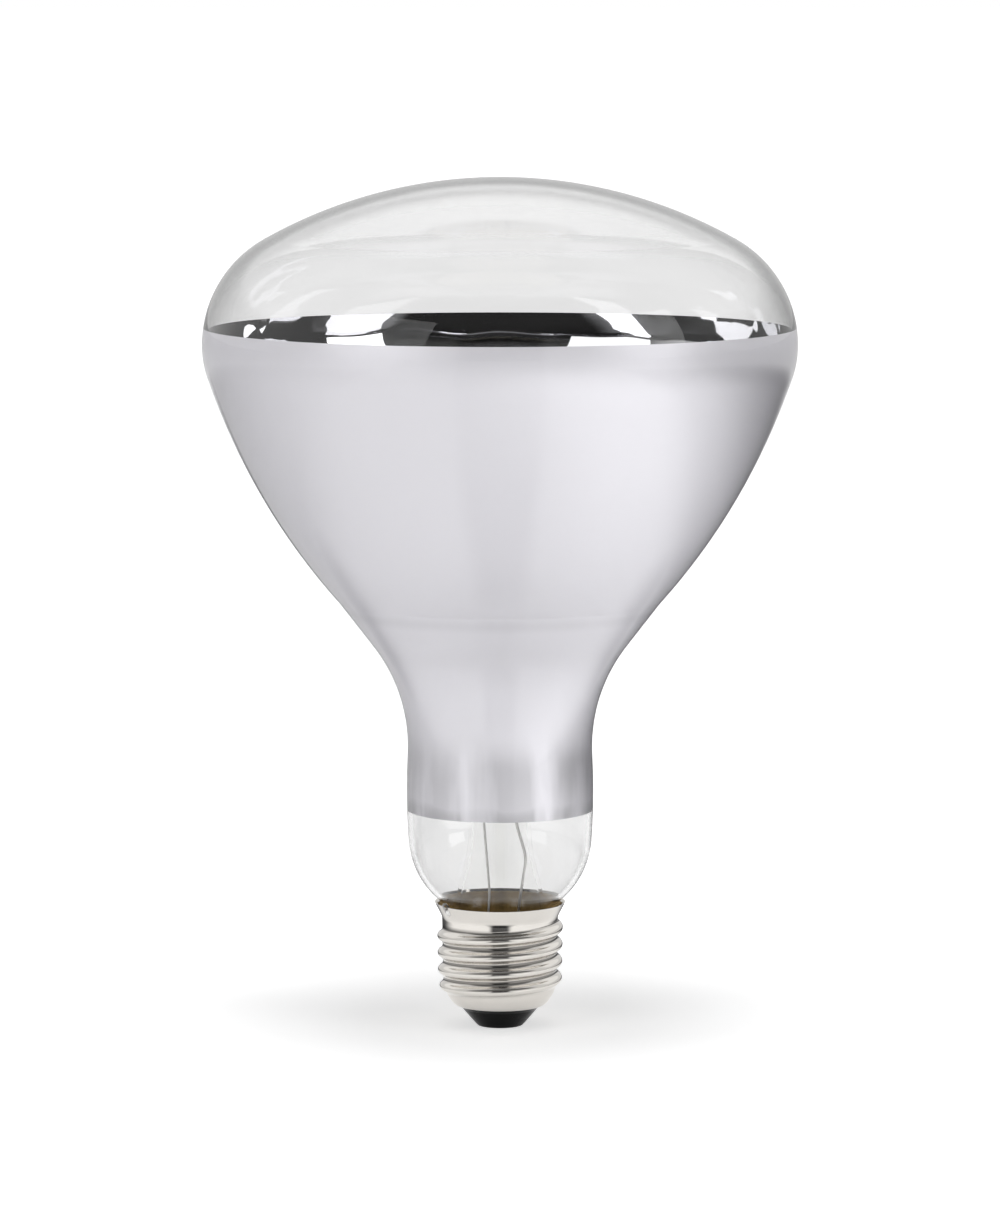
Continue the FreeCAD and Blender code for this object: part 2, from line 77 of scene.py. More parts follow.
# Ways in which a place or a direction can lie
RIGHT = (1.0, 0.0, 0.0)
FRONT = (0.0, -1.0, 0.0)
BACK = (0.0, 1.0, 0.0)
FRONT_RIGHT = (1.0, -0.1, 0.0)
BACK_RIGHT = (0.6, 0.8, 0.0)
FAR_RIGHT = (0.8, 0.6, 0.0)
FAR_LEFT = (-0.8, 0.6, 0.0)
UPPER_LEFT = (-0.6, 0.6, 0.53)


class FloorEnds:
    """Where on the floor each soft change starts and ends, in metres from the axis."""

    near_sheen = (0.03, 0.16)
    front_sheen = (0.04, 0.16)
    cap_sheen = (0.02, 0.12)
    dark_right = (0.23, 0.36)
    close_start = (0.02, 0.1)
    close_end = (0.12, 0.25)
    far_start = (0.1, 0.2)
    far_end = (0.6, 1.1)
    slit_side = (-0.008, 0.016)
    slit_start = (0.03, 0.06)
    slit_end = (0.1, 0.2)


class RoomEnds:
    """How far along its way a direction lies where each soft change starts and ends."""

    sky_up = (0.12, 0.38)
    sky_front = (-0.3, 0.3)
    wall = (0.2, 0.6)
    ceiling_up = (0.32, 0.6)
    ceiling_front = (-0.1, 0.2)
    overhead_up = (0.75, 0.9)
    skin_up = (0.25, 0.36)
    skin_right = (0.0, 0.7)
    slit_side = (-0.05, 0.05)
    tent_up = (0.3, 0.45)
    high_front = (0.2, 0.5)
    high_up = (0.2, 0.4)


# Meshes

def new_piece(name, points, faces, materials, indices=None, sharp=40.0):
    """A smooth-shaded mesh object that rides on the bulb. Points are in millimetres."""
    mesh = bpy.data.meshes.new(name)
    mesh.from_pydata([Vector(p) * MM for p in points], [], faces)
    for material in materials:
        mesh.materials.append(material)
    for polygon in mesh.polygons:
        polygon.use_smooth = True
        if indices:
            polygon.material_index = indices[polygon.index]
    mesh.set_sharp_from_angle(angle=math.radians(sharp))
    mesh.update()
    piece = bpy.data.objects.new(name, mesh)
    bpy.context.scene.collection.objects.link(piece)
    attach(piece, BODY)
    return piece


def dress(finishes):
    """Give CAD nodes their finish."""
    for name, material in finishes.items():
        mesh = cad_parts[name].data
        mesh.materials.clear()
        mesh.materials.append(material)


def turned(loop, segments, on_axis=1e-6):
    """Points and faces of a closed loop of (radius, height), turned about the axis. A point on
    the axis is one vertex."""
    points = []
    rings = []
    for radius, height in loop:
        if radius < on_axis:
            rings.append([len(points)] * segments)
            points.append((0.0, 0.0, height))
            continue
        rings.append(range(len(points), len(points) + segments))
        for step in range(segments):
            angle = 2 * math.pi * step / segments
            points.append((radius * math.cos(angle), radius * math.sin(angle), height))
    faces = []
    for low, high in zip(rings, rings[1:] + rings[:1]):
        for step in range(segments):
            after = (step + 1) % segments
            face = (low[step], low[after], high[after], high[step])
            corners = tuple(dict.fromkeys(face))
            if len(corners) > 2:
                faces.append(corners)
    return points, faces


def swept(path, radius, sides):
    """Points and faces of a round wire with closed ends along a path of vectors."""
    points = []
    faces = []
    across = (path[1] - path[0]).orthogonal().normalized()
    for index, centre in enumerate(path):
        before = path[max(index - 1, 0)]
        after = path[min(index + 1, len(path) - 1)]
        along = (after - before).normalized()
        across = (across - along * across.dot(along)).normalized()
        beside = along.cross(across)
        for side in range(sides):
            angle = 2 * math.pi * side / sides
            points.append(centre + (across * math.cos(angle) + beside * math.sin(angle)) * radius)
    for index in range(len(path) - 1):
        for side in range(sides):
            after = (side + 1) % sides
            low = index * sides
            high = low + sides
            faces.append((low + side, low + after, high + after, high + side))
    faces.append(tuple(range(sides))[::-1])
    faces.append(tuple(range(len(points) - sides, len(points))))
    return points, faces


# Outline of the blown glass

def cosine(angle):
    return math.cos(math.radians(angle))


def sine(angle):
    return math.sin(math.radians(angle))


class Outline:
    """A smooth half section of the bulb, walked upward as points of radius, height and the
    outward normal's angle above the horizontal."""

    # Longest step, in degrees of an arc and in millimetres of a line
    turn = 1.5
    stretch = 2.0

    def __init__(self, radius, height):
        self.points = [(radius, height, 0.0)]

    def line(self, length):
        radius, height, heading = self.points[-1]
        count = math.ceil(length / self.stretch)
        for step in range(1, count + 1):
            along = length * step / count
            self.points.append(
                (radius - along * sine(heading), height + along * cosine(heading), heading))

    def arc(self, reach, heading):
        """An arc of radius reach, on to a new heading. A hollow one has a reach below 0."""
        radius, height, start = self.points[-1]
        across = radius - reach * cosine(start)
        up = height - reach * sine(start)
        count = max(2, math.ceil(abs(heading - start) / self.turn))
        for step in range(1, count + 1):
            now = start + (heading - start) * step / count
            self.points.append((across + reach * cosine(now), up + reach * sine(now), now))

    def moved_in(self, inset, cuts=()):
        """The outline moved in by inset, with a point of its own at each height in cuts."""
        made = [(max(r - inset * cosine(a), 0.0), z - inset * sine(a)) for r, z, a in self.points]
        kept = made[:1]
        for (r0, z0), (r1, z1) in zip(made, made[1:]):
            for cut in cuts:
                if z0 < cut < z1:
                    kept.append((r0 + (r1 - r0) * (cut - z0) / (z1 - z0), cut))
            kept.append((r1, z1))
        return kept

    def lining(self, inset, low, high):
        """The part of the moved outline from one height to another."""
        return [point for point in self.moved_in(inset, (low, high)) if low <= point[1] <= high]


def bulb_outline(sizes):
    """The outside of the glass, and the heights of the mirror's two edges. Each of the two
    straight cones is as long as the arcs round it leave room for."""
    path = Outline(sizes.seal_radius, sizes.seal_height)
    path.line(SEAL_STRAIGHT)
    path.arc(-SEAL_ARC, -FOOT_ANGLE)
    foot_spread = FOOT_ARC * (cosine(NECK_ANGLE_LOW) - cosine(FOOT_ANGLE))
    barrel_spread = NECK_ARC * (cosine(NECK_ANGLE_HIGH) - cosine(NECK_ANGLE_LOW))
    waisting = THROAT_ARC * (1 - cosine(NECK_ANGLE_HIGH))
    reach = sizes.neck_radius + waisting - barrel_spread - foot_spread
    path.line((reach - path.points[-1][0]) / sine(FOOT_ANGLE))
    path.arc(FOOT_ARC, -NECK_ANGLE_LOW)
    path.arc(NECK_ARC, NECK_ANGLE_HIGH)
    path.arc(-THROAT_ARC, -CONE_ANGLE)
    crown_spread = CROWN_ARC * (1 - cosine(CROWN_ANGLE))
    side_spread = SIDE_ARC * (cosine(CROWN_ANGLE) - cosine(CREASE_ANGLE))
    crease_spread = CREASE_ARC * (cosine(CONE_ANGLE) - cosine(CREASE_ANGLE))
    reach = sizes.bulb_radius - crown_spread - side_spread - crease_spread
    path.line((reach - path.points[-1][0]) / sine(CONE_ANGLE))
    path.arc(-CREASE_ARC, -CREASE_ANGLE)
    path.arc(SIDE_ARC, -CROWN_ANGLE)
    path.arc(CROWN_ARC, 0.0)
    widest = path.points[-1][1]
    shoulder_end = math.acos((sizes.bulb_radius - SHOULDER_ARC) / (FACE_ARC - SHOULDER_ARC))
    path.arc(SHOULDER_ARC, math.degrees(shoulder_end))
    path.arc(FACE_ARC, 90.0)
    return path, (sizes.mirror_low, widest + sizes.mirror_rise)


# Materials

def shaded(colour, share):
    """A colour darkened to a share of itself."""
    return [share * part for part in colour]


class Nodes:
    """The node tree of a material or a world, written as calls."""

    # Where a noise is spread from and to, unless other ends are given
    middle = (0.3, 0.7)

    # How fast each side of the narrow slit draws back from the middle towards the front
    slit_slope = (0.0, 0.29, 0.0)

    def __init__(self, owner, output="OutputMaterial"):
        self.owner = owner
        owner.use_nodes = True
        self.tree = owner.node_tree
        self.tree.nodes.clear()
        self.output = self.node(output)

    def node(self, kind, inputs=None, **settings):
        made = self.tree.nodes.new("ShaderNode" + kind)
        for key, value in settings.items():
            setattr(made, key, value)
        for key, value in (inputs or {}).items():
            if isinstance(value, bpy.types.NodeSocket):
                self.tree.links.new(value, made.inputs[key])
            else:
                made.inputs[key].default_value = value
        return made

    def principled(self, **inputs):
        """A Principled BSDF, with the names of its inputs in small letters."""
        named = {key.replace("_", " ").title().replace("Ior", "IOR"): value
                 for key, value in inputs.items()}
        return self.node("BsdfPrincipled", named).outputs["BSDF"]

    def mixed(self, share, first, second):
        """The first shader where share is 0 and the second where it is 1."""
        return self.node("MixShader", {0: share, 1: first, 2: second}).outputs["Shader"]

    def finish(self, shader):
        self.tree.links.new(shader, self.output.inputs["Surface"])
        return self.owner

    def math(self, operation, *values, clamp=False):
        inputs = dict(enumerate(values))
        return self.node("Math", inputs, operation=operation, use_clamp=clamp).outputs["Value"]

    def sum(self, first, second):
        return self.math("ADD", first, second)

    def times(self, first, *others):
        for other in others:
            first = self.math("MULTIPLY", first, other)
        return first

    def most(self, first, *others):
        """The largest of the values."""
        for other in others:
            first = self.math("MAXIMUM", first, other)
        return first

    def less(self, first, second):
        """The first without the second, and never below 0."""
        return self.math("SUBTRACT", first, second, clamp=True)

    def spread(self, value, low, high, ends=middle, smooth=False):
        """Low before the first end, high after the second, and between them in proportion."""
        kind = "SMOOTHSTEP" if smooth else "LINEAR"
        inputs = {"Value": value, "From Min": ends[0], "From Max": ends[1],
                  "To Min": low, "To Max": high}
        return self.node("MapRange", inputs, interpolation_type=kind).outputs["Result"]

    def fade(self, value, low, high, ends):
        """The same with a soft start and end."""
        return self.spread(value, low, high, ends, smooth=True)

    def toward(self, place, way, level, ends):
        """From 0 up to a level, for a place or a direction that lies further along a way."""
        return self.fade(self.along(place, way), 0.0, level, ends)

    def along(self, place, way):
        """How far a place lies along a direction."""
        return self.node("VectorMath", {0: place, 1: way}, operation="DOT_PRODUCT").outputs["Value"]

    def beside_slit(self, place):
        """How far a place or a direction lies beside the narrow slit in front, below 0 inside."""
        side = self.math("ABSOLUTE", self.along(place, RIGHT))
        return self.sum(side, self.along(place, self.slit_slope))

    def place(self):
        return self.node("TexCoord").outputs["Object"]

    def height(self):
        return self.node("SeparateXYZ", {"Vector": self.place()}).outputs["Z"]

    def distance(self, place):
        """Distance of a place from the origin."""
        return self.node("VectorMath", {0: place}, operation="LENGTH").outputs["Value"]

    def noise(self, scale, detail=3.0, stretch=(1, 1, 1)):
        moved = self.node("Mapping", {"Vector": self.place(), "Scale": stretch}).outputs["Vector"]
        inputs = {"Vector": moved, "Scale": scale, "Detail": detail}
        return self.node("TexNoise", inputs).outputs["Fac"]

    def tint(self, share, first, second):
        """The first colour where share is 0 and the second where it is 1. The node has its
        colours at inputs 6 and 7 and at output 2."""
        inputs = {0: share, 6: (*first, 1.0), 7: (*second, 1.0)}
        return self.node("Mix", inputs, data_type="RGBA").outputs[2]

    def bump(self, value, strength, distance):
        inputs = {"Height": value, "Strength": strength, "Distance": distance}
        return self.node("Bump", inputs).outputs["Normal"]

    def ray(self, name):
        return self.node("LightPath").outputs[name]

    def bounced(self, count):
        """1 for a ray that has come off this many mirrors or bare surfaces, or more."""
        return self.math("GREATER_THAN", self.ray("Glossy Depth"), count - 0.5)

    def plain(self):
        """1 for a ray from the camera, straight or only through glass."""
        straight = self.most(self.ray("Is Camera Ray"), self.ray("Is Transmission Ray"))
        return self.less(straight, self.bounced(1))

    def inside(self):
        """1 for a ray that comes out of the glass after the mirror, its satin back or a glass
        face has thrown it back."""
        return self.times(self.bounced(1), self.ray("Is Transmission Ray"))

    def bare(self):
        """1 for a ray that comes straight off bare metal or the outside of the glass."""
        return self.less(self.bounced(1), self.inside())

    def deep(self, faces):
        """1 for a ray that comes out of the glass through this many of its faces, or more."""
        through = self.math("GREATER_THAN", self.ray("Transmission Depth"), faces - 0.5)
        return self.times(self.inside(), through)


def new_finish(name):
    return Nodes(bpy.data.materials.new(name))


def glass_finish(name, colour, wave, depth, ior):
    """Clear glass with a faint wave, its depth in millimetres. Rays from the softboxes pass
    straight through it."""
    made = new_finish(name)
    ripple = made.bump(made.noise(wave, detail=2.0), strength=0.4, distance=depth * MM)
    glass = made.principled(
        base_color=(*colour, 1.0), roughness=0.0, ior=ior, transmission_weight=1.0, normal=ripple)
    clear = made.node("BsdfTransparent", {"Color": (*colour, 1.0)}).outputs["BSDF"]
    return made.finish(made.mixed(made.ray("Is Shadow Ray"), glass, clear))


def mirror_back_finish(sizes):
    """The outside of the aluminium film: satin on the body, glossier round the neck, with
    painted dark reflections streaked there, darker along its ragged foot, with painted shade on
    the crease, and less metallic near its upper edge, so that no dark rim shows there."""
    made = new_finish("satin mirror back")
    height = made.height()
    cloud = made.noise(scale=60.0, detail=4.0)
    grain = made.noise(scale=5000.0, detail=2.0)
    streak = made.noise(scale=130.0, stretch=(1, 1, 0.15))

    satin_start = sizes.satin_height * MM
    satin_blend = 12 * MM
    streaked = made.sum(height, made.times(streak, satin_blend))
    satin = made.fade(streaked, 0.0, 1.0, (satin_start, satin_start + satin_blend))

    foot = sizes.mirror_low * MM
    foot_ends = (foot - 2 * MM, foot + 3 * MM)
    ragged = made.sum(height, made.times(cloud, -4 * MM))
    patchy = made.spread(streak, low=0.15, high=1.0, ends=(0.42, 0.56))
    dark_foot = made.times(made.fade(ragged, 1.0, 0.0, foot_ends), patchy)
    # Painted shade: a faint darker band along the crease across the cone
    crease_width = 2 * MM
    off_crease = made.math("ABSOLUTE", made.math("SUBTRACT", height, sizes.crease * MM))
    painted_crease_shade = made.fade(off_crease, 0.16, 0.0, (0.0, crease_width))
    # Painted reflections: darker streaks round the neck, standing in for dark things that the glossy
    # film would mirror
    reflection_streaks = made.spread(streak, low=0.0, high=0.5, ends=(0.42, 0.6))
    painted_neck_reflections = made.times(reflection_streaks, made.math("SUBTRACT", 1.0, satin))
    # The darker foot, the painted crease shade and the painted neck reflections, taken together
    dark = made.most(dark_foot, painted_crease_shade, painted_neck_reflections)

    bright = sizes.mirror_colour[:]
    whole = (0.0, 1.0)
    rough = made.spread(satin, sizes.neck_roughness, sizes.body_roughness, ends=whole)
    uneven = made.spread(grain, low=-0.015, high=0.015, ends=whole)
    upper_edge = (138 * MM, 147 * MM)
    shader = made.principled(
        base_color=made.tint(dark, bright, shaded(bright, 0.6)),
        metallic=made.fade(height, 0.85, 0.45, upper_edge),
        roughness=made.sum(rough, uneven),
        normal=made.bump(cloud, strength=0.1, distance=0.2 * MM))
    return made.finish(shader)


def mirror_face_finish():
    """The polished side of the film, facing the filament, and wavier towards its upper edge."""
    made = new_finish("polished mirror")
    haze = made.noise(scale=90.0)
    shoulder = (125 * MM, 138 * MM)
    wavy = made.fade(made.height(), 0.12, 0.6, shoulder)
    shader = made.principled(
        base_color=(0.90, 0.90, 0.92, 1.0), metallic=1.0,
        roughness=made.spread(haze, 0.015, 0.04),
        normal=made.bump(made.noise(scale=40.0, detail=1.0), strength=wavy, distance=2.5 * MM))
    return made.finish(shader)


def metal_finish(name, colour, roughness, grain=900.0, depth=0.02):
    """Bare metal with a fine grain, its depth in millimetres, and slightly uneven gloss."""
    made = new_finish(name)
    fine = made.noise(grain)
    patch = made.spread(made.noise(scale=140.0), 0.0, 1.0)
    shader = made.principled(
        base_color=made.tint(patch, colour, shaded(colour, 0.86)), metallic=1.0,
        roughness=made.spread(fine, 0.75 * roughness, 1.3 * roughness),
        normal=made.bump(fine, strength=0.25, distance=depth * MM))
    return made.finish(shader)


def thread_finish():
    """Bright nickel plate, with a painted shade line at the bottom of the thread."""
    made = new_finish("nickel plate")
    height = made.height()
    fine = made.noise(scale=700.0, stretch=(1, 1, 14))
    patch = made.noise(scale=140.0)

    # Painted shade: a dark line along the root of the thread, where light can't reach into the valley
    flat = {0: made.place(), 1: (1.0, 1.0, 0.0)}
    radius = made.distance(made.node("VectorMath", flat, operation="MULTIPLY").outputs["Vector"])
    root = made.spread(height, THREAD_FOOT[0] * MM, THREAD_HEAD[0] * MM,
                       ends=(THREAD_FOOT[1] * MM, THREAD_HEAD[1] * MM))
    over_root = made.math("SUBTRACT", radius, root)
    line_side = (0.02 * MM, 0.09 * MM)
    line_start = (8.8 * MM, 9.6 * MM)
    line_end = (21.6 * MM, 22.4 * MM)
    whole_turns = made.times(made.spread(height, 0.0, 1.0, line_start),
                             made.spread(height, 1.0, 0.0, line_end))
    line = made.times(made.fade(over_root, 1.0, 0.0, line_side), whole_turns)
    painted_shade_strength = 0.75
    patch_dark = 0.15
    # The painted shade line, with random darker patches of the plate
    dark = made.most(made.times(line, painted_shade_strength), made.times(patch, patch_dark))

    shader = made.principled(
        base_color=made.tint(dark, (0.78, 0.75, 0.705), (0.05, 0.045, 0.04)), metallic=1.0,
        roughness=made.spread(fine, 0.05, 0.1),
        normal=made.bump(fine, strength=0.15, distance=0.01 * MM))
    return made.finish(shader)


def matt_finish(name, first, second, roughness, scale, depth):
    """A mineral surface in two mottled tones, with bumps of a depth in millimetres."""
    made = new_finish(name)
    mottle = made.noise(scale, detail=6.0)
    shader = made.principled(
        base_color=made.tint(made.spread(mottle, 0.0, 1.0), first, second),
        roughness=roughness, normal=made.bump(mottle, strength=0.6, distance=depth * MM))
    return made.finish(shader)


def black_glass_finish():
    """Moulded black glass, hazy and with little shine."""
    made = new_finish("black moulded glass")
    haze = made.noise(scale=300.0)
    shader = made.principled(
        base_color=made.tint(haze, (0.002, 0.002, 0.002), (0.005, 0.005, 0.005)),
        roughness=made.spread(haze, 0.12, 0.3), specular_ior_level=0.08,
        normal=made.bump(haze, strength=0.25, distance=0.1 * MM))
    return made.finish(shader)


# Settings

def millimetres(name, text, value):
    """A length in millimetres. Blender's own length unit would show it as metres."""
    return bpy.props.FloatProperty(name=name, description=text, default=value, min=0.0)


def metres(name, text, value):
    return bpy.props.FloatProperty(
        name=name, description=text, default=value, min=0.0, unit="LENGTH")


def factor(name, text, value):
    return bpy.props.FloatProperty(
        name=name, description=text, default=value, min=0.0, max=1.0, subtype="FACTOR")


def brightness(name, text, value):
    return bpy.props.FloatProperty(name=name, description=text, default=value, min=0.0)


def watts(name, text, value):
    return bpy.props.FloatProperty(
        name=name, description=text, default=value, min=0.0, unit="POWER")


def steps(name, text, value, fewest):
    return bpy.props.IntProperty(name=name, description=text, default=value, min=fewest)


def tone(name, text, value):
    return bpy.props.FloatVectorProperty(
        name=name, description=text, default=value, size=3, min=0.0, max=1.0, subtype="COLOR")


class BulbSizes(bpy.types.PropertyGroup):
    """Sizes of the glass and its mirror, in millimetres, and their colours."""

    seal_radius: millimetres("Seal radius", "Radius of the bulb's sealed end, in mm", 10.6)
    seal_height: millimetres("Seal height", "Height of the sealed end over the contact, in mm", 20.6)
    neck_radius: millimetres("Neck radius", "Narrowest radius below the cone, in mm", 19.5)
    bulb_radius: millimetres("Bulb radius", "Largest radius of the glass, in mm", 62.5)
    glass_wall: millimetres("Glass wall", "Thickness of the blown wall, in mm", 0.9)
    mirror_low: millimetres("Mirror foot", "Height of the mirror's lower edge, in mm", 46.4)
    mirror_rise: millimetres("Mirror rise", "Mirror above the bulb's widest place, in mm", 3.6)
    # Height of the crease, where the satin back carries a painted shade line
    crease: millimetres("Crease", "Height of the faint crease across the cone, in mm", 89.2)
    satin_height: millimetres("Satin foot", "Height where the back starts to turn satin, in mm", 61.0)
    segments: steps("Segments", "Steps round the axis", 192, 24)
    glass_colour: tone("Glass", "Tint of the clear glass", (0.93, 0.93, 0.93))
    mirror_colour: tone("Mirror back", "Colour of the film's outside", (0.80, 0.79, 0.83))
    body_roughness: factor("Body roughness", "Roughness of the satin back", 0.36)
    neck_roughness: factor("Neck roughness", "Roughness of the brighter back round the neck", 0.3)


class CapSizes(bpy.types.PropertyGroup):
    """Sizes of the rolled thread, in millimetres."""

    crest_diameter: millimetres("Crest diameter", "Diameter over the thread, in mm", 26.3)
    root_diameter: millimetres("Root diameter", "Diameter between the turns, in mm", 24.1)
    pitch: millimetres("Pitch", "Rise of the thread in one turn, in mm", 3.629)
    crest_height: millimetres(
        "Crest height", "Height of the lowest whole crest on the left, in mm", 8.45)
    wall: millimetres("Wall", "Thickness of the drawn shell, in mm", 0.3)
    thread_low: millimetres("Thread foot", "Height where the ridge starts, in mm", 7.05)
    thread_high: millimetres("Thread head", "Height where the ridge ends, in mm", 23.2)
    columns: steps("Columns", "Steps round the shell", 160, 36)
    row: millimetres("Row", "Height of one row of faces, in mm", 0.16)


class CoilSizes(bpy.types.PropertyGroup):
    """Sizes of the coiled filament, in millimetres."""

    ring: millimetres("Ring radius", "Radius of the ring that the hooks hold, in mm", 13.0)
    level: millimetres("Level", "Height of the filament, in mm", 92.2)
    coil: millimetres("Coil radius", "Outer radius of the coil, in mm", 0.7)
    wire: millimetres("Wire", "Radius of the tungsten wire, in mm", 0.09)
    turn: millimetres("Turn", "Advance of one turn, in mm", 0.42)


class StageSizes(bpy.types.PropertyGroup):
    """Camera, softboxes, floor, and the room as glass, mirror and bare metal see it."""

    lens: bpy.props.FloatProperty(
        name="Lens", description="Focal length", default=161.8, min=1.0, unit="CAMERA")
    distance: metres("Distance", "Camera in front of the axis", 1.1381)
    height: metres("Height", "Camera above the floor", 0.2206)
    pitch: bpy.props.FloatProperty(
        name="Pitch", description="Camera's tilt below the horizon",
        default=math.radians(6.54), unit="ROTATION")
    left_power: watts("Left softbox", "Power of the softbox in front on the left", 3.6)
    right_power: watts("Right softbox", "Power of the softbox in front on the right", 3.1)
    top_power: watts("Top softbox", "Power of the softbox overhead", 15.0)
    floor_colour: tone("Floor", "Colour of the floor", (0.82, 0.82, 0.82))
    floor_glow: brightness(
        "Floor glow", "Glow of the floor at the bulb, as camera and glass see it", 0.32)
    far_glow: brightness("Far glow", "The same out of the softboxes' reach", 0.99)
    glow_reach: metres("Glow reach", "Distance of that place from the bulb", 1.8)
    camera_glow: brightness("Camera glow", "What the camera sees more than the glass does", 0.3)
    floor_sheen: brightness("Floor sheen", "Light that mirror and metal see on the floor", 0.02)
    near_sheen: brightness("Near sheen", "What the mirror sees right under the bulb", 0.3)
    cap_sheen: brightness("Cap sheen", "What bare metal sees right under the bulb", 0.35)
    front_sheen: brightness("Front sheen", "What the mirror sees more on the right", 0.4)
    dark_right: factor("Dark right", "How black the mirror sees the floor behind on the right", 1.0)
    dark_left: factor("Dark left", "How black bare surfaces see the floor far on the left", 0.5)
    dark_back: factor("Dark back", "How black they see it behind and far on the right", 0.95)
    wall: brightness("Wall", "The wall behind on the left, as the mirror sees it", 0.45)
    ceiling: brightness("Ceiling", "The ceiling in front, as the mirror sees it", 0.25)
    overhead: brightness("Overhead", "Straight overhead, as the mirror sees it", 0.85)
    skin: brightness("Skin", "The low part of the room, as the satin back sees it", 0.45)
    sky: brightness("Sky", "Above and behind, as the satin back and bare surfaces see it", 1.0)
    tent: brightness("Tent", "The tent round bare surfaces", 0.75)
    slit: brightness("Slit", "The narrow slit in front, as bare surfaces see it", 0.02)
    gap: brightness("Gap", "The least that mirror and metal see anywhere", 0.005)


# Pieces

class HEATLAMP_OT_glass(bpy.types.Operator):
    """Blow the glass: one clear wall from the sealed end to the face. The film's back also lies
    on its inner face, as the film sticks to the glass"""

    bl_idname = "heatlamp.glass"
    bl_label = "Blown glass"

    def execute(self, context):
        sizes = context.scene.heatlamp_bulb
        path, edges = bulb_outline(sizes)
        outer = path.moved_in(0.0)
        inner = path.moved_in(sizes.glass_wall, edges)
        points, faces = turned(outer + inner[::-1], sizes.segments)
        inside = (len(outer) - 1) * sizes.segments + 1
        indices = []
        for face in faces:
            heights = [points[corner][2] for corner in face]
            lined = min(face) >= inside and edges[0] <= min(heights) and max(heights) <= edges[1]
            indices.append(1 if lined else 0)
        glass = glass_finish(
            "clear glass", sizes.glass_colour[:], wave=18.0, depth=0.04, ior=1.5)
        finishes = [glass, mirror_back_finish(sizes)]
        bulb = new_piece("blown_glass", points, faces, finishes, indices)
        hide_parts("glass_bulb")
        return {"FINISHED"}


class HEATLAMP_OT_mirror(bpy.types.Operator):
    """Line the glass with its mirror, satin outside and polished inside"""

    bl_idname = "heatlamp.mirror"
    bl_label = "Mirror"

    # Thickness of the film, and of the air between it and the glass, in millimetres
    film = 0.05
    air = 0.02

    def execute(self, context):
        sizes = context.scene.heatlamp_bulb
        path, edges = bulb_outline(sizes)
        back = path.lining(sizes.glass_wall + self.air, *edges)
        face = path.lining(sizes.glass_wall + self.air + self.film, *edges)
        points, faces = turned(back + face[::-1], sizes.segments)
        indices = [0 if index < len(back) * sizes.segments else 1 for index in range(len(faces))]
        finishes = [mirror_back_finish(sizes), mirror_face_finish()]
        lining = new_piece("mirror_film", points, faces, finishes, indices)
        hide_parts("mirror_coating")
        return {"FINISHED"}


class HEATLAMP_OT_cap(bpy.types.Operator):
    """Roll the round thread into the cap's thin shell"""

    bl_idname = "heatlamp.cap"
    bl_label = "Screw cap"

    # Rounding is in millimetres, runout in turns, its width a share of half a turn, and left
    # and crisp are angles in degrees
    rounding = 0.45
    rounding_steps = 4
    runout = 14 / 36
    runout_width = 0.15
    left = 180.0
    crests = range(-2, 7)
    crisp = 50.0

    def base(self, height):
        """Radius of the shell without its thread."""
        for (r0, z0), (r1, z1) in zip(CAP_PROFILE, CAP_PROFILE[1:]):
            if height <= z1:
                break
        return r0 + (r1 - r0) * (height - z0) / (z1 - z0)

    def rounded(self, height):
        """The same, with its corners rounded."""
        reach = min(self.rounding, height - CAP_PROFILE[0][1], CAP_PROFILE[-1][1] - height)
        count = self.rounding_steps
        shares = [step / count for step in range(-count, count + 1)]
        return sum(self.base(height + reach * share) for share in shares) / len(shares)

    def wave(self, sizes, share):
        """The round thread's height over its root, from its crest at 0 to its valley at 1."""
        depth = (sizes.crest_diameter - sizes.root_diameter) / 2
        quarter = sizes.pitch / 4
        arc = (quarter ** 2 + (depth / 2) ** 2) / depth
        offset = min(abs(share), 1.0) * 2 * quarter
        if offset <= quarter:
            return depth - arc + math.sqrt(arc ** 2 - offset ** 2)
        return arc - math.sqrt(arc ** 2 - (2 * quarter - offset) ** 2)

    def ridge(self, sizes, angle, height):
        """How far the thread stands out at an azimuth and a height."""
        half = sizes.pitch / 2
        margin = half * self.runout_width
        start = sizes.thread_low + margin
        end = sizes.thread_high - margin
        phase = sizes.crest_height + sizes.pitch * (angle - self.left) / 360
        out = 0.0
        for crest in (phase + sizes.pitch * number for number in self.crests):
            if not start <= crest <= end:
                continue
            room = crest - sizes.thread_low if height < crest else sizes.thread_high - crest
            share = (height - crest) / (half * min(1.0, room / half))
            if abs(share) > 1:
                continue
            turns = min(crest - start, end - crest) / sizes.pitch
            out = max(out, min(1.0, turns / self.runout) * self.wave(sizes, share))
        return out

    def execute(self, context):
        sizes = context.scene.heatlamp_cap
        low = CAP_PROFILE[0][1]
        high = CAP_PROFILE[-1][1]
        count = math.ceil((high - low) / sizes.row)
        columns = sizes.columns
        points = []
        for inset in (0.0, sizes.wall):
            for row in range(count + 1):
                height = low + (high - low) * row / count
                for step in range(columns):
                    angle = 360 * step / columns
                    radius = self.rounded(height) + self.ridge(sizes, angle, height) - inset
                    points.append((radius * cosine(angle), radius * sine(angle), height))
        skin = (count + 1) * columns
        faces = []
        for row in range(count):
            for step in range(columns):
                a = row * columns + step
                b = row * columns + (step + 1) % columns
                faces.append((a, b, b + columns, a + columns))
                faces.append((a + skin, a + skin + columns, b + skin + columns, b + skin))
        for start, flip in ((0, False), (skin - columns, True)):
            for step in range(columns):
                a = start + step
                b = start + (step + 1) % columns
                face = (a, a + skin, b + skin, b)
                faces.append(face[::-1] if flip else face)
        shell = new_piece("threaded_shell", points, faces, [thread_finish()], sharp=self.crisp)
        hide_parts("cap_shell")
        return {"FINISHED"}


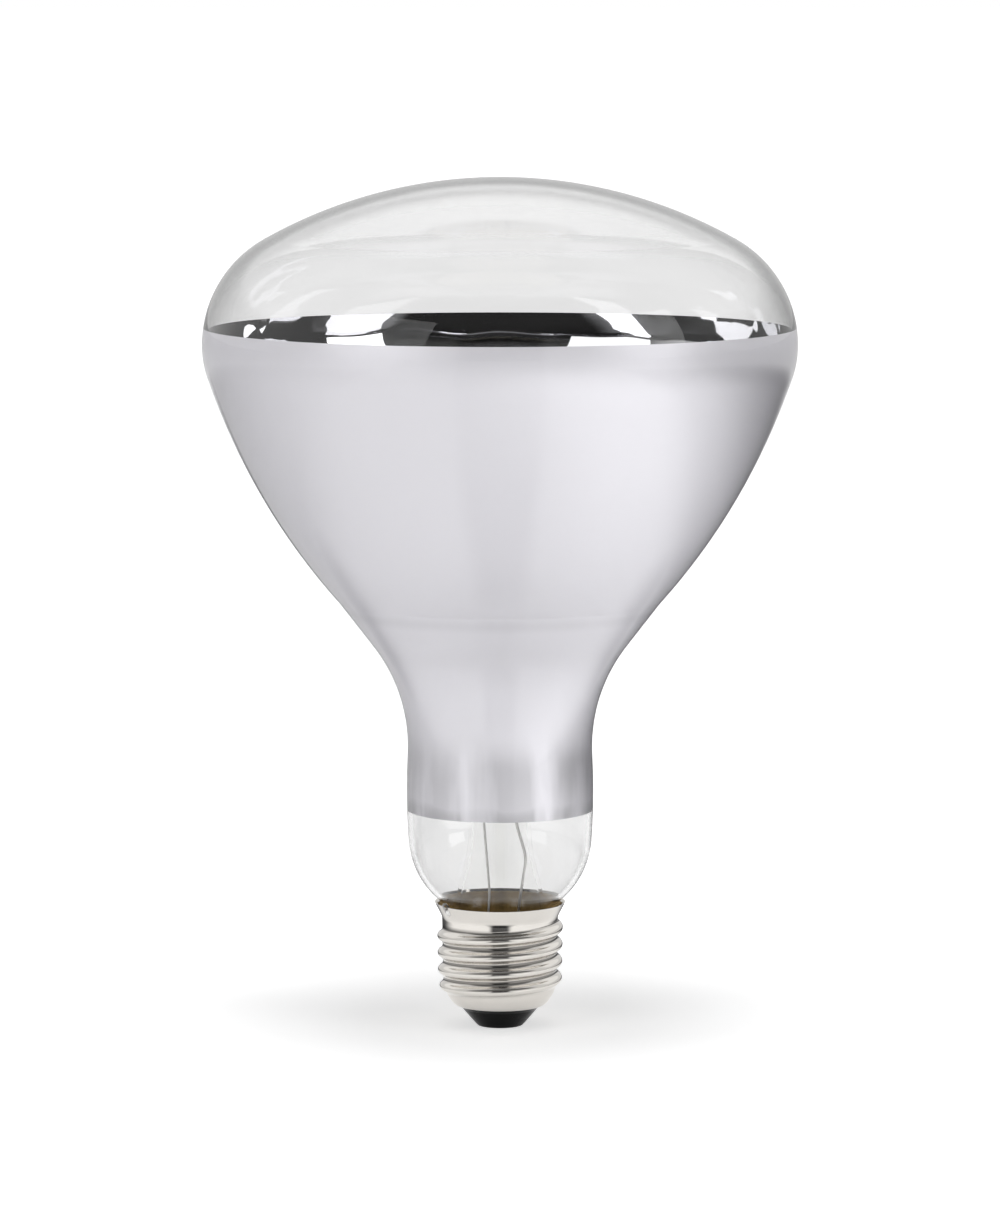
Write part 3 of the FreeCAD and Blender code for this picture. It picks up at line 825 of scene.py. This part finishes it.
class HEATLAMP_OT_fittings(bpy.types.Operator):
    """Finish the cap's insulator, contact, solder and cement"""

    bl_idname = "heatlamp.fittings"
    bl_label = "Cap fittings"

    def execute(self, context):
        solder = metal_finish(
            "tin solder", (0.88, 0.87, 0.85), roughness=0.42, grain=1200.0, depth=0.06)
        dress({
            "insulator": black_glass_finish(),
            "contact_plate": metal_finish("tinned brass", (0.78, 0.70, 0.50), roughness=0.32),
            "centre_solder": solder,
            "side_solder": solder,
            "cement_ring": matt_finish(
                "baked cement", (0.30, 0.185, 0.06), (0.46, 0.31, 0.12),
                roughness=0.7, scale=700.0, depth=0.2),
        })
        return {"FINISHED"}


class HEATLAMP_OT_stem(bpy.types.Operator):
    """Finish the glass stem and its mica disc"""

    bl_idname = "heatlamp.stem"
    bl_label = "Stem"

    def execute(self, context):
        glass = glass_finish(
            "stem glass", (0.99, 0.99, 0.985), wave=120.0, depth=0.1, ior=1.008)
        mica = matt_finish(
            "mica", (0.60, 0.55, 0.44), (0.74, 0.70, 0.60),
            roughness=0.35, scale=260.0, depth=0.05)
        dress({"stem_flare": glass, "exhaust_tube": glass, "support_rod": glass,
               "heat_disc": mica})
        return {"FINISHED"}


class HEATLAMP_OT_wires(bpy.types.Operator):
    """Finish the leads, seal wires and filament hooks"""

    bl_idname = "heatlamp.wires"
    bl_label = "Leads and hooks"

    def execute(self, context):
        plated = metal_finish("plated wire", (0.60, 0.59, 0.58), roughness=0.35)
        clad = metal_finish("clad seal wire", (0.66, 0.42, 0.33), roughness=0.4)
        nickel = metal_finish("nickel wire", (0.66, 0.65, 0.62), roughness=0.28)
        molybdenum = metal_finish("molybdenum wire", (0.50, 0.50, 0.51), roughness=0.3)
        dress({"outer_lead_centre": plated, "outer_lead_side": plated,
               "seal_wire_left": clad, "seal_wire_right": clad,
               "inner_lead_left": nickel, "inner_lead_right": nickel})
        hooks = [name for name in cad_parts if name.startswith("filament_hook")]
        dress(dict.fromkeys(hooks, molybdenum))
        return {"FINISHED"}


class HEATLAMP_OT_filament(bpy.types.Operator):
    """Wind the tungsten coil from lead to lead, in straight spans between its hooks"""

    bl_idname = "heatlamp.filament"
    bl_label = "Filament"

    # Opening of the ring in degrees, and how far from each lead's middle the coil ends, in mm
    gap = 70.0
    lead = 0.42
    spans = 6
    steps_in_turn = 10
    sides = 6

    def corners(self, sizes):
        span = (360 - self.gap) / self.spans
        start = 270 + self.gap / 2
        made = []
        for step in range(self.spans + 1):
            angle = start + span * step
            made.append(Vector((sizes.ring * cosine(angle), sizes.ring * sine(angle), sizes.level)))
        made[0] = made[0] + (made[1] - made[0]).normalized() * self.lead
        made[-1] = made[-1] + (made[-2] - made[-1]).normalized() * self.lead
        return made

    def execute(self, context):
        sizes = context.scene.heatlamp_coil
        corners = self.corners(sizes)
        runs = [(b - a).length for a, b in zip(corners, corners[1:])]
        count = round(sum(runs) / sizes.turn) * self.steps_in_turn
        reach = sizes.coil - sizes.wire
        up = Vector((0, 0, 1))
        path = []
        for step in range(count + 1):
            along = sum(runs) * step / count
            index = 0
            while index < len(runs) - 1 and along > runs[index]:
                along -= runs[index]
                index += 1
            ahead = (corners[index + 1] - corners[index]).normalized()
            centre = corners[index] + ahead * along
            outward = Vector((centre.x, centre.y, 0)).normalized()
            angle = 2 * math.pi * step / self.steps_in_turn
            path.append(centre + outward * reach * math.cos(angle) + up * reach * math.sin(angle))
        points, faces = swept(path, sizes.wire, self.sides)
        tungsten = metal_finish("tungsten coil", (0.42, 0.42, 0.43), roughness=0.35)
        coil = new_piece("tungsten_coil", points, faces, [tungsten])
        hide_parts("filament")
        return {"FINISHED"}


# Camera, floor and light

def softbox(name, place, aim, size, strength):
    """A rectangular lamp that mirror and metal don't show."""
    data = bpy.data.lights.new(name, "AREA")
    data.shape = "RECTANGLE"
    data.size, data.size_y = size
    data.energy = strength
    made = bpy.data.objects.new(name, data)
    made.location = place
    made.rotation_euler = (Vector(aim) - Vector(place)).to_track_quat("-Z", "Y").to_euler()
    made.visible_glossy = False
    bpy.context.scene.collection.objects.link(made)
    return made


def floor_light(made, stage, place, reach):
    """What the floor gives off. The camera and the glass see it white, up to the shadow. Mirror
    and metal see it pale right under the bulb, where the bulb's own shadow lies."""
    white = made.spread(reach, stage.floor_glow, stage.far_glow, ends=(0.0, stage.glow_reach))
    glow = made.sum(made.times(made.plain(), white),
                    made.times(made.ray("Is Camera Ray"), stage.camera_glow))
    near = made.fade(reach, stage.near_sheen, stage.floor_sheen, FloorEnds.near_sheen)
    front = made.toward(place, FRONT_RIGHT, stage.front_sheen, FloorEnds.front_sheen)
    under = made.fade(reach, stage.cap_sheen, stage.floor_sheen, FloorEnds.cap_sheen)
    sheen = made.sum(made.times(made.inside(), made.sum(near, front)),
                     made.times(made.bare(), under))
    return made.node("Emission", {"Strength": made.sum(glow, sheen)}).outputs["Emission"]


def floor_darkness(made, stage, place, reach):
    """Where the floor turns black. The mirror sees it so behind on the right. Bare surfaces see
    it so close behind, far off on both sides, and along the narrow slit in front."""
    right = made.toward(place, BACK_RIGHT, stage.dark_right, FloorEnds.dark_right)
    close = made.times(made.toward(place, BACK, stage.dark_back, FloorEnds.close_start),
                       made.fade(reach, 1.0, 0.0, FloorEnds.close_end))
    far = made.most(made.toward(place, FAR_RIGHT, stage.dark_back, FloorEnds.far_start),
                    made.toward(place, FAR_LEFT, stage.dark_left, FloorEnds.far_start))
    far = made.times(far, made.fade(reach, 1.0, 0.0, FloorEnds.far_end))
    slit = made.times(made.fade(made.beside_slit(place), 1.0, 0.0, FloorEnds.slit_side),
                      made.fade(reach, 0.0, 1.0, FloorEnds.slit_start),
                      made.fade(reach, 1.0, 0.35, FloorEnds.slit_end))
    return made.most(made.times(right, made.inside()),
                     made.times(made.most(close, far, slit), made.bare()))


def floor_finish(stage):
    """Pale floor with the bulb's shadow on it. Places on it are in metres from the axis."""
    made = new_finish("pale floor")
    place = made.place()
    reach = made.distance(place)
    pale = stage.floor_colour[:]
    paper = made.noise(scale=400.0, detail=2.0)
    shade = made.principled(
        base_color=made.tint(paper, pale, shaded(pale, 0.99)), roughness=0.9,
        specular_ior_level=0.0)
    light = floor_light(made, stage, place, reach)
    lit = made.node("AddShader", {0: shade, 1: light}).outputs["Shader"]
    black = made.node("BsdfDiffuse", {"Color": (0.015, 0.015, 0.017, 1.0)}).outputs["BSDF"]
    return made.finish(made.mixed(floor_darkness(made, stage, place, reach), lit, black))


def studio_world(stage):
    """The room, by direction. The camera and the glass see it white. The mirror sees it dark,
    with a pale wall behind on the left, a dim ceiling in front and a pale place overhead, and
    after a second mirror no wall. The satin back sees it pale low down. Bare surfaces see a
    pale tent with a narrow slit, and a dark part high in front. Satin back and bare surfaces
    also see a bright sky above and behind."""
    made = Nodes(bpy.data.worlds.new("studio"), "OutputWorld")
    way = made.node("TexCoord").outputs["Generated"]
    up = made.node("SeparateXYZ", {"Vector": way}).outputs["Z"]
    front = made.along(way, FRONT)
    sky = made.times(made.fade(up, 0.0, stage.sky, RoomEnds.sky_up),
                     made.fade(front, 1.0, 0.0, RoomEnds.sky_front))

    wall = made.toward(way, UPPER_LEFT, stage.wall, RoomEnds.wall)
    wall = made.less(wall, made.bounced(2))
    ceiling = made.times(made.fade(up, 0.0, stage.ceiling, RoomEnds.ceiling_up),
                         made.fade(front, 0.0, 1.0, RoomEnds.ceiling_front))
    overhead = made.fade(up, 0.0, stage.overhead, RoomEnds.overhead_up)
    skin = made.times(made.fade(up, stage.skin, 0.0, RoomEnds.skin_up),
                      made.fade(made.along(way, BACK_RIGHT), 1.0, 0.15, RoomEnds.skin_right))
    shallow = made.math("SUBTRACT", 1.0, made.deep(3))
    skin = made.times(shallow, made.most(skin, sky))
    room = made.times(made.most(wall, ceiling, overhead, skin), made.inside())

    tent = made.fade(made.beside_slit(way), stage.slit, stage.tent, RoomEnds.slit_side)
    tent = made.most(tent, made.fade(up, 0.0, stage.tent, RoomEnds.tent_up))
    high_front = made.times(made.fade(front, 0.0, 0.8, RoomEnds.high_front),
                            made.fade(up, 0.0, 1.0, RoomEnds.high_up))
    tent = made.times(tent, made.math("SUBTRACT", 1.0, high_front))
    tent = made.times(made.most(tent, sky), made.bare())

    strength = made.most(room, tent, stage.gap, made.plain())
    light = made.node("Background", {"Color": (1, 1, 1, 1), "Strength": strength})
    return made.finish(light.outputs["Background"])


class HEATLAMP_OT_stage(bpy.types.Operator):
    """Set up the camera, the pale floor and the studio light"""

    bl_idname = "heatlamp.stage"
    bl_label = "Camera and stage"

    # In metres, but for the sensor, which is in millimetres
    floor_reach = 45.0
    sensor = 36.0
    view_end = 100.0
    aim = (0.0, 0.0, 0.09)

    def execute(self, context):
        scene = context.scene
        stage = scene.heatlamp_stage
        data = bpy.data.cameras.new("camera")
        data.lens = stage.lens
        data.sensor_width = self.sensor
        data.clip_end = self.view_end
        camera = bpy.data.objects.new("camera", data)
        camera.location = (0.0, -stage.distance, stage.height)
        camera.rotation_euler = (math.pi / 2 - stage.pitch, 0.0, 0.0)
        scene.collection.objects.link(camera)
        scene.camera = camera
        scene.view_settings.view_transform = "Standard"

        mesh = bpy.data.meshes.new("floor")
        reach = self.floor_reach
        corners = [(-reach, -reach, 0), (reach, -reach, 0), (reach, reach, 0), (-reach, reach, 0)]
        mesh.from_pydata(corners, [], [(0, 1, 2, 3)])
        mesh.materials.append(floor_finish(stage))
        floor = bpy.data.objects.new("floor", mesh)
        scene.collection.objects.link(floor)

        scene.world = studio_world(stage)
        softbox("left softbox", place=(-0.92, -0.83, 0.52), aim=self.aim, size=(0.88, 0.85),
                strength=stage.left_power)
        softbox("right softbox", place=(1.02, -0.54, 0.5), aim=self.aim, size=(0.55, 0.8),
                strength=stage.right_power)
        above = softbox("top softbox", place=(0.0, -0.1, 1.5), aim=self.aim, size=(0.8, 0.8),
                        strength=stage.top_power)
        above.visible_transmission = False
        return {"FINISHED"}


class HEATLAMP_PT_panel(bpy.types.Panel):
    """Lists the pieces of the heat lamp bulb"""

    bl_idname = "HEATLAMP_PT_panel"
    bl_label = "Heat lamp bulb"
    bl_space_type = "VIEW_3D"
    bl_region_type = "UI"
    bl_category = "Heat lamp"

    def draw(self, context):
        for piece in PIECES:
            self.layout.operator(piece.bl_idname)


SETTINGS = {
    "heatlamp_bulb": BulbSizes,
    "heatlamp_cap": CapSizes,
    "heatlamp_coil": CoilSizes,
    "heatlamp_stage": StageSizes,
}
PIECES = (
    HEATLAMP_OT_stage,
    HEATLAMP_OT_glass,
    HEATLAMP_OT_mirror,
    HEATLAMP_OT_cap,
    HEATLAMP_OT_fittings,
    HEATLAMP_OT_stem,
    HEATLAMP_OT_wires,
    HEATLAMP_OT_filament,
)


def register():
    for made in (*SETTINGS.values(), *PIECES, HEATLAMP_PT_panel):
        bpy.utils.register_class(made)
    for name, group in SETTINGS.items():
        setattr(bpy.types.Scene, name, bpy.props.PointerProperty(type=group))


def unregister():
    for name in SETTINGS:
        delattr(bpy.types.Scene, name)
    for made in (HEATLAMP_PT_panel, *PIECES, *SETTINGS.values()):
        bpy.utils.unregister_class(made)


def main():
    register()
    for piece in PIECES:
        group, name = piece.bl_idname.split(".")
        getattr(getattr(bpy.ops, group), name)()


if __name__ == "__main__":
    main()
